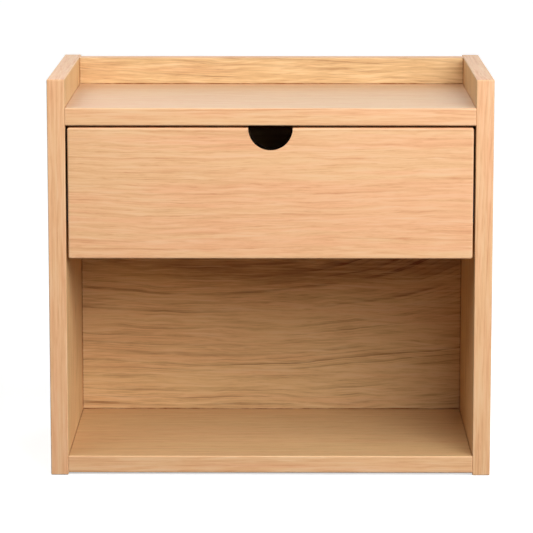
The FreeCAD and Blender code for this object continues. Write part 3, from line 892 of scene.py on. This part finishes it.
def arc(
    centre: tuple[float, float], radius: float, start: float, end: float, steps: int
) -> list[tuple[float, float]]:
    """Points on an arc, both ends included; the angles are in radians.

    Args:
        centre: The arc's centre.
        radius: Its radius.
        start: The angle of its first point.
        end: The angle of its last point.
        steps: How many straight steps it has.

    Returns:
        The points, in order.
    """
    turns = [start + (end - start) * n / steps for n in range(steps + 1)]
    return [
        (centre[0] + radius * math.cos(turn), centre[1] + radius * math.sin(turn))
        for turn in turns
    ]


@dataclass
class Board:
    """A veneered board with banded edges, which stands for one node of the frame.

    Attributes:
        node: The node that it stands for.
        body: The body that it rides on.
        along: The axis that its grain runs along.
        across: The axis that its width runs along.
        through: The axis that its thickness runs along.
        face: The finish of its two faces.
        arris: The radius of its rounded edges.
        rounded: Which edges are rounded.
        bores: The holes in it.
        core: The finish inside its holes.
        ease: How far the other edges are eased, where only the front ones are rounded.
        joints: Where other boards meet its faces.
    """

    node: str
    body: str
    along: Axis
    across: Axis
    through: Axis
    face: Wood
    arris: float = 0.001
    rounded: Rounded = Rounded.EVERY
    bores: list[Bore] = field(default_factory=list)
    core: Union[Chipboard, NearBlack] = Chipboard()
    ease: float = 0.0007
    joints: tuple[Joint, ...] = ()

    ARRIS_STEPS = 6
    BORE_STEPS = 96
    SHARP = math.radians(60)  # the angle past which an edge is a corner of the board
    SLACK = 1.05  # how far past an arris a face still belongs to the outside
    SLOT = "oak_veneer"

    def __post_init__(self) -> None:
        """Takes the corners of the node that it stands for."""
        self.box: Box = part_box(self.node)

    def outline(self) -> list[tuple[float, float]]:
        """The board's outline along and across, which is a rectangle.

        Returns:
            The outline's corners, in order.
        """
        low, high = self.box
        a, b = self.along.value, self.across.value
        return [(low[a], low[b]), (high[a], low[b]), (high[a], high[b]), (low[a], high[b])]

    def slab(self) -> bmesh.types.BMesh:
        """The outline pulled through the board's thickness, with its edges rounded.

        Returns:
            The solid board, before its holes are cut.
        """
        low, high = self.box
        mesh = bmesh.new()
        rim = []
        for along, across in self.outline():
            point = Vector((0.0, 0.0, 0.0))
            point[self.along.value] = along
            point[self.across.value] = across
            point[self.through.value] = low[self.through.value]
            rim.append(mesh.verts.new(point))
        base = mesh.faces.new(rim)
        pulled = bmesh.ops.extrude_face_region(mesh, geom=[base])
        step = Vector((0.0, 0.0, 0.0))
        step[self.through.value] = high[self.through.value] - low[self.through.value]
        moved = [item for item in pulled["geom"] if isinstance(item, bmesh.types.BMVert)]
        bmesh.ops.translate(mesh, verts=moved, vec=step)
        bmesh.ops.recalc_face_normals(mesh, faces=mesh.faces)
        self.round_off(mesh, [e for e in mesh.edges if self.is_rounded(e)], self.arris)
        if self.rounded is Rounded.FRONT:
            rest = [e for e in mesh.edges if e.calc_face_angle(0.0) > self.SHARP]
            self.round_off(mesh, rest, self.ease)
        return mesh

    def round_off(
        self, mesh: bmesh.types.BMesh, edges: Sequence[bmesh.types.BMEdge], radius: float
    ) -> None:
        """Rounds some of a mesh's edges.

        Args:
            mesh: The board's mesh.
            edges: The edges.
            radius: The radius that they get.
        """
        bmesh.ops.bevel(
            mesh,
            geom=edges,
            offset=radius,
            offset_type="OFFSET",
            segments=self.ARRIS_STEPS,
            profile=0.5,
            affect="EDGES",
            clamp_overlap=True,
        )

    def is_rounded(self, edge: bmesh.types.BMEdge) -> bool:
        """Whether an edge of the slab is rounded.

        Args:
            edge: The edge.

        Returns:
            Whether it is.
        """
        low, high = self.box
        ends = [vert.co for vert in edge.verts]
        if self.rounded is Rounded.FRONT:
            run = abs((ends[1] - ends[0]).normalized()[self.along.value])
            in_front = all(abs(end.y - low.y) < HAIR for end in ends)
            return in_front and abs(run - 1.0) < HAIR
        if self.rounded is Rounded.RIMS:
            n = self.through.value
            return any(all(abs(end[n] - rim[n]) < HAIR for end in ends) for rim in (low, high))
        return True

    def cutter(self, bore: Bore) -> bpy.types.Object:
        """A round plug that fills a bore, for the cut.

        Args:
            bore: The hole.

        Returns:
            The plug.
        """
        mesh = bmesh.new()
        bmesh.ops.create_cone(
            mesh,
            cap_ends=True,
            segments=self.BORE_STEPS,
            radius1=bore.radius,
            radius2=bore.radius,
            depth=bore.length,
        )
        toward = Vector((0.0, 0.0, 0.0))
        toward[bore.axis.value] = 1.0
        turn = toward.to_track_quat("Z", "Y").to_matrix().to_4x4()
        bmesh.ops.transform(mesh, matrix=Matrix.Translation(bore.centre) @ turn, verts=mesh.verts)
        return as_object(f"{self.node}_cutter", mesh)

    def bored(self, piece: bpy.types.Object) -> None:
        """Cuts the bores out of the board's mesh.

        Args:
            piece: The board.
        """
        for bore in self.bores:
            cutter = self.cutter(bore)
            cut = piece.modifiers.new("bore", "BOOLEAN")
            cut.object = cutter
            cut.operation = "DIFFERENCE"
            cut.solver = "EXACT"
            graph = bpy.context.evaluated_depsgraph_get()
            mesh = bpy.data.meshes.new_from_object(piece.evaluated_get(graph))
            piece.modifiers.clear()
            old, piece.data = piece.data, mesh
            bpy.data.meshes.remove(old)
            bpy.data.objects.remove(cutter)
        piece.data.name = piece.name

    def slot_of(self, face: bpy.types.MeshPolygon) -> Slot:
        """The slot that a face belongs to, by the way that it looks and where it lies.

        Args:
            face: The face.

        Returns:
            Its slot.
        """
        low, high = self.box
        inside = min(
            min(face.center[n] - low[n], high[n] - face.center[n]) for n in range(3)
        )
        if inside > self.arris * self.SLACK:
            return Slot.CORE
        ways = [abs(face.normal[axis.value]) for axis in (self.through, self.across, self.along)]
        return Slot(ways.index(max(ways)))

    def dress(self, piece: bpy.types.Object) -> None:
        """Gives each face of the board the finish of its slot.

        Args:
            piece: The board.
        """
        box = self.box
        for material in (
            self.face.make(self.along, self.across, box, self.joints),
            BAND_OAK.make(self.along, self.through, box),
            BAND_OAK.make(self.across, self.through, box),
            self.core.make(),
        ):
            piece.data.materials.append(material)
        for face in piece.data.polygons:
            face.material_index = self.slot_of(face).value

    def build(self) -> bpy.types.Object:
        """Builds, dresses and places the board.

        Returns:
            The board.
        """
        piece = as_object(f"{self.node}_board", self.slab())
        self.bored(piece)
        self.dress(piece)
        smooth(piece)
        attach(piece, self.body)
        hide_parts(self.node)
        LOG.info("%s stands for %s and rides on %s", piece.name, self.node, self.body)
        return piece


@dataclass
class NotchedBoard(Board):
    """The drawer's face: its corners are rounded, and a finger notch is cut in its top edge.

    Attributes:
        corner: The radius of its corners.
        notch: The radius of the finger notch.
    """

    corner: float = 0.0018
    notch: float = 0.020

    CORNER_STEPS = 5
    STEEP = 0.2  # how far a face of the notch's wall may lean to the front or the back
    SLACK_ROUND = 1.01  # how far past its radius the notch's wall reaches, as a share

    def __post_init__(self) -> None:
        """Takes the node's corners, and cuts the notch through the middle of the top edge."""
        super().__post_init__()
        low, high = self.box
        middle = Vector((0.0, (low.y + high.y) / 2, high.z))
        self.bores.append(Bore(middle, Axis.Y, self.notch, 2 * (high.y - low.y)))

    def outline(self) -> list[tuple[float, float]]:
        """The face's outline with its rounded corners, anticlockwise from the lower right.

        Returns:
            The outline's points, in order.
        """
        low, high = self.box
        right, top, bottom, r = high.x, high.z, low.z, self.corner
        quarter = math.pi / 2
        half = arc((right - r, bottom + r), r, -quarter, 0.0, self.CORNER_STEPS)
        half += arc((right - r, top - r), r, 0.0, quarter, self.CORNER_STEPS)
        return half + [(-x, z) for x, z in reversed(half)]

    def slot_of(self, face: bpy.types.MeshPolygon) -> Slot:
        """The slot of a face; the notch's wall is the core's.

        Args:
            face: The face.

        Returns:
            Its slot.
        """
        _, high = self.box
        reach = math.hypot(face.center.x, face.center.z - high.z)
        if abs(face.normal.y) < self.STEEP and reach < self.notch * self.SLACK_ROUND:
            return Slot.CORE
        return super().slot_of(face)


def as_object(name: str, mesh: bmesh.types.BMesh) -> bpy.types.Object:
    """Puts a mesh in the scene as an object, and frees the working copy.

    Args:
        name: The object's name.
        mesh: The working copy.

    Returns:
        The object.
    """
    data = bpy.data.meshes.new(name)
    mesh.to_mesh(data)
    mesh.free()
    piece = bpy.data.objects.new(name, data)
    bpy.context.scene.collection.objects.link(piece)
    return piece


def smooth(piece: bpy.types.Object) -> None:
    """Shades a piece smoothly round its arrises and flat on its faces.

    Args:
        piece: The piece.
    """
    piece.data.polygons.foreach_set("use_smooth", [True] * len(piece.data.polygons))
    piece.data.set_sharp_from_angle(angle=CREASE)
    weighted = piece.modifiers.new("faces_stay_flat", "WEIGHTED_NORMAL")
    weighted.keep_sharp = True


GOLDEN = Palette(chip(231, 183, 134), chip(186, 104, 48), chip(235, 172, 129))
# Pale, greyed colours that paint the whitish sheen on the top shelf.
PAINTED_SHEEN = Palette(chip(226, 188, 147), chip(186, 104, 48), chip(230, 181, 145))
OLIVE = Palette(chip(225, 188, 137), chip(134, 80, 40), chip(226, 179, 132))
DEEP_OLIVE = Palette(chip(217, 179, 128), chip(134, 80, 40), chip(219, 171, 124))

DRAWER_OAK = Wood(
    "drawer_face_oak",
    Figure(turn=0.05, pith=-0.12, depth=0.05, slope=0.09, ring=0.0062),
    GOLDEN,
    lines=0.26,
    streaks=0.5,
    dashes=0.18,
    seed=4.0,
    blush=(0.225, 0.065),
)
BACK_OAK = Wood(
    "back_panel_oak",
    Figure(turn=-0.075, pith=0.205, depth=0.006, slope=0.29, ring=0.0085),
    OLIVE,
    lines=0.42,
    streaks=0.5,
    wander=0.016,
    coat=0.0,
    gloss=0.12,
    seed=9.0,
    upper=Figure(turn=-0.3, pith=0.29, depth=0.01, slope=0.12, ring=0.006),
    seam=0.262,
    # Painted shade over the panel above the seam, where the gallery shows.
    upper_painted_shade=0.13,
    # The dark patch at the top of the niche is painted shade under the drawer, partly heartwood.
    heart_and_shade=HeartwoodAndShade(0.02, 0.19, 0.26, 0.062),
    heart_and_shade_depth=0.4,
)
# The top shelf's pale colours and faint figure paint the sheen it shows at a grazing view.
TOP_OAK = Wood(
    "top_shelf_oak",
    Figure(turn=0.1, pith=0.2, depth=0.05, slope=0.1, ring=0.008),
    PAINTED_SHEEN,
    lines=0.15,
    streaks=0.3,
    seed=15.0,
)
BOTTOM_OAK = Wood(
    "bottom_shelf_oak",
    Figure(turn=-0.1, pith=0.2, depth=0.03, slope=0.14, ring=0.010),
    DEEP_OLIVE,
    lines=0.15,
    streaks=0.3,
    rub=0.04,
    seed=21.0,
)
SIDE_OAK = Wood(
    "side_oak",
    Figure(turn=0.1, pith=0.0, depth=0.015, slope=0.12, ring=0.009),
    DEEP_OLIVE,
    lines=0.3,
    coat=0.0,
    gloss=0.12,
    seed=27.0,
)
BAND_OAK = Wood(
    "band_oak",
    Figure(turn=0.05, pith=0.25, depth=0.02, slope=0.12, ring=0.004),
    GOLDEN,
    lines=0.3,
    streaks=0.55,
    bands=0.5,
    wander=0.004,
    rub=0.12,
    seed=33.0,
)
RAIL_PINE = Wood(
    "rail_softwood",
    Figure(turn=0.1, pith=0.22, depth=0.03, slope=0.12, ring=0.005),
    Palette(chip(222, 190, 142), chip(168, 116, 62), chip(214, 172, 120)),
    lines=0.5,
    dashes=0.1,
    coat=0.0,
    roughness=0.6,
    seed=39.0,
)
BIRCH = Wood(
    "drawer_birch",
    Figure(turn=0.0, pith=0.1, depth=0.06, slope=0.2, ring=0.02),
    Palette(chip(226, 202, 164), chip(178, 138, 92), chip(220, 190, 146)),
    lines=0.16,
    streaks=0.35,
    dashes=0.08,
    coat=0.15,
    seed=45.0,
)
PLY = Wood(
    "drawer_bottom_ply",
    Figure(turn=0.02, pith=-0.02, depth=0.02, slope=0.35, ring=0.016),
    Palette(chip(228, 206, 170), chip(184, 146, 100), chip(220, 192, 150)),
    lines=0.22,
    streaks=0.35,
    dashes=0.06,
    coat=0.0,
    roughness=0.55,
    seed=51.0,
)
BEECH = Wood(
    "dowel_beech",
    Figure(turn=0.0, pith=0.3, depth=0.05, slope=0.1, ring=0.002),
    Palette(chip(214, 172, 128), chip(150, 100, 62), chip(204, 154, 112)),
    lines=0.2,
    dashes=0.3,
    coat=0.0,
    roughness=0.6,
    seed=57.0,
)
BLACK_ZINC = Metal("black_zinc_plate", (0.11, 0.11, 0.115), (0.06, 0.06, 0.065), 0.42)
SCREW = Metal("screw_zinc", (0.6, 0.6, 0.6), (0.38, 0.38, 0.4), 0.34, patch=700.0)
CAST = Metal("cast_zinc", (0.5, 0.5, 0.51), (0.33, 0.33, 0.35), 0.45, brushed=0.02, depth=0.00008)
BALL = Metal("ball_steel", (0.68, 0.68, 0.69), (0.55, 0.55, 0.57), 0.12, brushed=0.02)
BLACK = Plastic("black_plastic", (0.018, 0.018, 0.019), (0.045, 0.045, 0.047))

CARCASS = "carcass"
DRAWER = "drawer"


def coat(node: str, material: bpy.types.Material) -> None:
    """Gives a node of the frame one finish all over.

    Args:
        node: The node's name.
        material: The finish.
    """
    piece = frame["nodes"][node]
    piece.data.materials.clear()
    piece.data.materials.append(material)
    LOG.info("%s takes %s", node, material.name)


@dataclass
class Carcass:
    """The two sides, the two shelves, the back panel and the rail behind it.

    Attributes:
        side_arris: The radius of the sides' and the panel's edges.
        shelf_arris: The radius of the shelves' front edges.
        cam_play: How much wider a cam's bore is than the cam, on each side.
        cam_bore_over: How much deeper a cam's bore is than the cam.
        wall_screw_radius: The radius of the wall screws' holes.
    """

    side_arris: float = 0.001
    shelf_arris: float = 0.0015
    cam_play: float = 0.00005
    cam_bore_over: float = 0.0001
    wall_screw_radius: float = 0.00275

    def cam_bores(self, node: str, axis: Axis) -> list[Bore]:
        """The cams' bores in one board: the cams whose middles lie in the board's box.

        Args:
            node: The board's node.
            axis: The axis that the bores run along.

        Returns:
            The bores.
        """
        low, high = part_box(node)
        bores = []
        for bottom, top in solids("cams"):
            middle = (bottom + top) / 2
            if all(low[n] < middle[n] < high[n] for n in range(3)):
                size = top - bottom
                wide = max(size[n] for n in range(3) if n != axis.value)
                depth = size[axis.value] + self.cam_bore_over
                from_low = middle[axis.value] < (low[axis.value] + high[axis.value]) / 2
                middle[axis.value] = (low if from_low else high)[axis.value]
                bores.append(Bore(middle, axis, wide / 2 + self.cam_play, 2 * depth))
        return bores

    def wall_bores(self) -> list[Bore]:
        """The two holes for the wall screws, as the record's mount says.

        Returns:
            The bores.
        """
        mounts = frame["record"]["mounts"]
        mount = next(item for item in mounts if item["name"] == "wall_screws")
        spacing = mount["dims"]["spacing_x_mm"] / 1000
        low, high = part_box("back_panel")
        y, z = (low.y + high.y) / 2, mount["pos_m"][2]
        length = 2 * (high.y - low.y)
        return [
            Bore(Vector((x, y, z)), Axis.Y, self.wall_screw_radius, length)
            for x in (-spacing / 2, spacing / 2)
        ]

    def boards(self) -> list[Board]:
        """The five boards of the carcass.

        Returns:
            The sides, the shelves and the panel.
        """
        sides = [
            Board(
                node=f"{side}_side",
                body=CARCASS,
                along=Axis.Z,
                across=Axis.Y,
                through=Axis.X,
                face=SIDE_OAK,
                arris=self.side_arris,
            )
            for side in ("left", "right")
        ]
        ends = (
            (Axis.X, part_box("left_side")[1].x),
            (Axis.X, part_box("right_side")[0].x),
        )
        panel = (Axis.Y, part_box("back_panel")[0].y)
        tops = tuple((Axis.Z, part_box(shelf)[1].z) for shelf in ("bottom_shelf", "top_shelf"))
        shelves = [
            Board(
                node=node,
                body=CARCASS,
                along=Axis.X,
                across=Axis.Y,
                through=Axis.Z,
                face=finish,
                arris=self.shelf_arris,
                rounded=Rounded.FRONT,
                bores=self.cam_bores(node, Axis.Z),
                joints=(*ends, panel),
            )
            for node, finish in (("top_shelf", TOP_OAK), ("bottom_shelf", BOTTOM_OAK))
        ]
        back = Board(
            node="back_panel",
            body=CARCASS,
            along=Axis.X,
            across=Axis.Z,
            through=Axis.Y,
            face=BACK_OAK,
            arris=self.side_arris,
            bores=self.cam_bores("back_panel", Axis.Y) + self.wall_bores(),
            joints=(*ends, *tops),
        )
        return [*sides, *shelves, back]

    def build(self) -> None:
        """Builds the boards and dresses the rail."""
        for board in self.boards():
            board.build()
        coat("hanging_rail", RAIL_PINE.make(Axis.X, Axis.Z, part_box("hanging_rail")))


@dataclass
class Drawer:
    """The drawer's face and the box behind it.

    Attributes:
        arris: The radius of the face's edges.
    """

    arris: float = 0.0015

    def build(self) -> None:
        """Builds the face and dresses the box."""
        NotchedBoard(
            node="drawer_face",
            body=DRAWER,
            along=Axis.X,
            across=Axis.Z,
            through=Axis.Y,
            face=DRAWER_OAK,
            arris=self.arris,
            rounded=Rounded.RIMS,
            core=NearBlack(),
        ).build()
        for wall, along in (
            ("drawer_left_wall", Axis.Y),
            ("drawer_right_wall", Axis.Y),
            ("drawer_inner_front", Axis.X),
            ("drawer_back_wall", Axis.X),
        ):
            coat(wall, BIRCH.make(along, Axis.Z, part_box(wall)))
        coat("drawer_bottom", PLY.make(Axis.X, Axis.Y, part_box("drawer_bottom")))


@dataclass
class Runners:
    """The two ball-bearing runners."""

    def build(self) -> None:
        """Dresses the members, the cages, the balls and the buffers."""
        zinc, ball, black = BLACK_ZINC.make(), BALL.make(), BLACK.make()
        for side in ("left", "right"):
            for member in ("cabinet", "middle", "drawer"):
                coat(f"runner_{side}_{member}_member", zinc)
            for row in ("outer", "inner"):
                coat(f"runner_{side}_{row}_balls", ball)
                coat(f"runner_{side}_{row}_cage", zinc)
            coat(f"runner_{side}_buffer", black)


@dataclass
class Fittings:
    """The dowels, cams, cam bolts and screws."""

    def build(self) -> None:
        """Dresses each group of fittings."""
        for dowels in ("carcass_dowels", "drawer_dowels"):
            coat(dowels, BEECH.make(Axis.X, Axis.Z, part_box(dowels)))
        coat("cams", CAST.make())
        screw = SCREW.make()
        for group in (
            "cam_bolts",
            "face_screws",
            "rail_screws",
            "cabinet_runner_screws",
            "drawer_runner_screws",
        ):
            coat(group, screw)


@dataclass(frozen=True)
class Lamp:
    """A soft lamp: where it shines from and how strong it is.

    Attributes:
        name: What it is called.
        azimuth: Degrees to the right of straight in front.
        height: Degrees above the floor.
        strength: Its light, in watts to a square metre for a sun and in watts for a panel.
    """

    name: str
    azimuth: float
    height: float
    strength: float

    def back(self) -> Vector:
        """The way from the cabinet to the lamp.

        Returns:
            The way, one metre long.
        """
        turn, rise = math.radians(self.azimuth), math.radians(self.height)
        return Vector(
            (math.sin(turn) * math.cos(rise), -math.cos(turn) * math.cos(rise), math.sin(rise))
        )

    def hang(self, kind: str) -> bpy.types.Object:
        """Hangs a lamp of one kind so that it shines at the cabinet.

        Args:
            kind: The kind of lamp that it is.

        Returns:
            The lamp.
        """
        data = bpy.data.lights.new(self.name, kind)
        data.energy = self.strength
        lamp = bpy.data.objects.new(self.name, data)
        lamp.rotation_mode = "QUATERNION"
        lamp.rotation_quaternion = self.back().to_track_quat("Z", "Y")
        bpy.context.scene.collection.objects.link(lamp)
        return lamp


@dataclass(frozen=True)
class Sun(Lamp):
    """A far lamp, which lights the whole studio evenly.

    Attributes:
        width: How wide it looks, in degrees.
    """

    width: float = 36.0

    def build(self) -> None:
        """Hangs the lamp."""
        self.hang("SUN").data.angle = math.radians(self.width)


@dataclass(frozen=True)
class Panel(Lamp):
    """A square softbox near the cabinet, which lights what is near it more.

    Attributes:
        side: The length of its sides, in metres.
        reach: How far it hangs from the middle of the cabinet, in metres.
    """

    side: float = 0.7
    reach: float = 1.3

    MIDDLE = Vector((0.0, 0.0, 0.2))

    def build(self) -> None:
        """Hangs the lamp."""
        lamp = self.hang("AREA")
        lamp.data.size = self.side
        lamp.location = self.MIDDLE + self.back() * self.reach


@dataclass
class Studio:
    """A plain pale floor that glows a little, soft lamps and the camera.

    Attributes:
        floor_reach: How far the floor runs to each side, in metres.
        floor_drop: How far below the cabinet it lies.
        floor_glow: How strongly it glows.
        room: How bright the room looks.
        camera_at: Where the camera stands.
        camera_pitch: How many degrees it looks down.
        camera_turn: How many degrees it is turned to the left.
        lens: The length of its lens, in millimetres.
        sensor: The width of its sensor, in millimetres.
        sight: How far it sees, in metres.
        lamps: The lamps.
    """

    floor_reach: float = 40.0
    floor_drop: float = 0.0004
    floor_glow: float = 0.62
    room: float = 0.95
    camera_at: Vector = field(default_factory=lambda: Vector((0.0120, -2.780, 0.6458)))
    camera_pitch: float = 9.643
    camera_turn: float = 0.334
    lens: float = 202.6
    sensor: float = 36.0
    sight: float = 100.0
    lamps: tuple[Union[Sun, Panel], ...] = (
        Sun("right", 55.0, 20.0, 1.05),
        Sun("upper_right", 40.0, 42.0, 0.34),
        Sun("rear_right", 150.0, 30.0, 0.5),
        Sun("rear_left", -150.0, 30.0, 0.6),
        Panel("front", 23.0, 27.0, 12.1),
        Panel("upper_left", -50.0, 46.0, 5.6),
    )

    FLOOR_TILES = 40

    def floor(self) -> None:
        """Lays the floor, a wide sheet of pale paper whose light stays off the cabinet."""
        mesh = bmesh.new()
        tiles = self.FLOOR_TILES
        bmesh.ops.create_grid(mesh, x_segments=tiles, y_segments=tiles, size=self.floor_reach)
        sheet = as_object("studio_floor", mesh)
        sheet.location.z = -self.floor_drop
        sheet.visible_diffuse = False
        graph = Graph("pale_paper")
        x, y, z = graph.place()
        tooth = graph.noise(x * 900.0, y * 900.0, z, 2.0)
        paper = graph.finish(
            Base_Color=graph.blend(0.5 + tooth, (0.86, 0.86, 0.86), (0.9, 0.9, 0.9)),
            Roughness=0.9,
            Emission_Color=(1.0, 1.0, 1.0),
            Emission_Strength=self.floor_glow,
        )
        sheet.data.materials.append(paper)

    def walls(self) -> None:
        """Makes the room white to look at, and dark as a source of diffuse light."""
        world = bpy.data.worlds.new("studio")
        bpy.context.scene.world = world
        world.use_nodes = True
        paint = world.node_tree.nodes["Background"].inputs
        paint["Strength"].default_value = self.room
        paint["Color"].default_value = (1.0, 1.0, 1.0, 1.0)
        world.cycles_visibility.diffuse = False

    def camera(self) -> None:
        """Sets up the camera."""
        data = bpy.data.cameras.new("camera")
        data.lens = self.lens
        data.sensor_width = self.sensor
        data.clip_end = self.sight
        camera = bpy.data.objects.new("camera", data)
        camera.location = self.camera_at
        camera.rotation_euler = (
            math.radians(90.0 - self.camera_pitch),
            0.0,
            math.radians(self.camera_turn),
        )
        bpy.context.scene.collection.objects.link(camera)
        bpy.context.scene.camera = camera

    def build(self) -> None:
        """Builds the studio."""
        self.floor()
        self.walls()
        for lamp in self.lamps:
            lamp.build()
        self.camera()
        bpy.context.scene.view_settings.view_transform = "Standard"


def main() -> None:
    """Builds the cabinet's sub-assemblies and the studio, in order."""
    logging.basicConfig(level=logging.INFO, format="%(message)s")
    for assembly in (Carcass(), Drawer(), Runners(), Fittings()):
        LOG.info("building %s", type(assembly).__name__)
        assembly.build()
    Studio().build()


if __name__ == "__main__":
    main()
